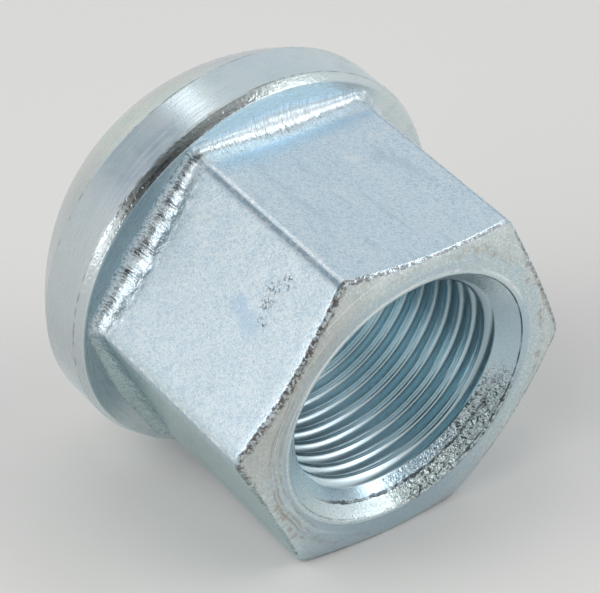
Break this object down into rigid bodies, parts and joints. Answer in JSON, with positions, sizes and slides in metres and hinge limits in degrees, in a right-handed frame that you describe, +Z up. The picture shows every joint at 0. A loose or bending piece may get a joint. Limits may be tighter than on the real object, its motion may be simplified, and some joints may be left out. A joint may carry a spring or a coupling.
{
  "type": "lug nut",
  "caption": "Flanged hexagonal wheel lug nut in plated steel with a threaded through bore, a countersunk open end and a rounded ball seat behind the flange, lying on its side.",
  "frame": {"origin": "on the ground under the middle of the lying nut's box", "axes": "+Z up, +X the way the open end points seen from above; the bore's axis lies in the XZ plane and dips about 9.9 degrees towards +X"},
  "size_m": [0.032, 0.0336, 0.0338],
  "materials": {
    "plated_steel": "bright zinc plating with a pale blue tint, turned marks on the rim and mouth, dull worn edges"
  },
  "bodies": {
    "root": {"lug_nut": "plated_steel"}
  },
  "joints": []
}
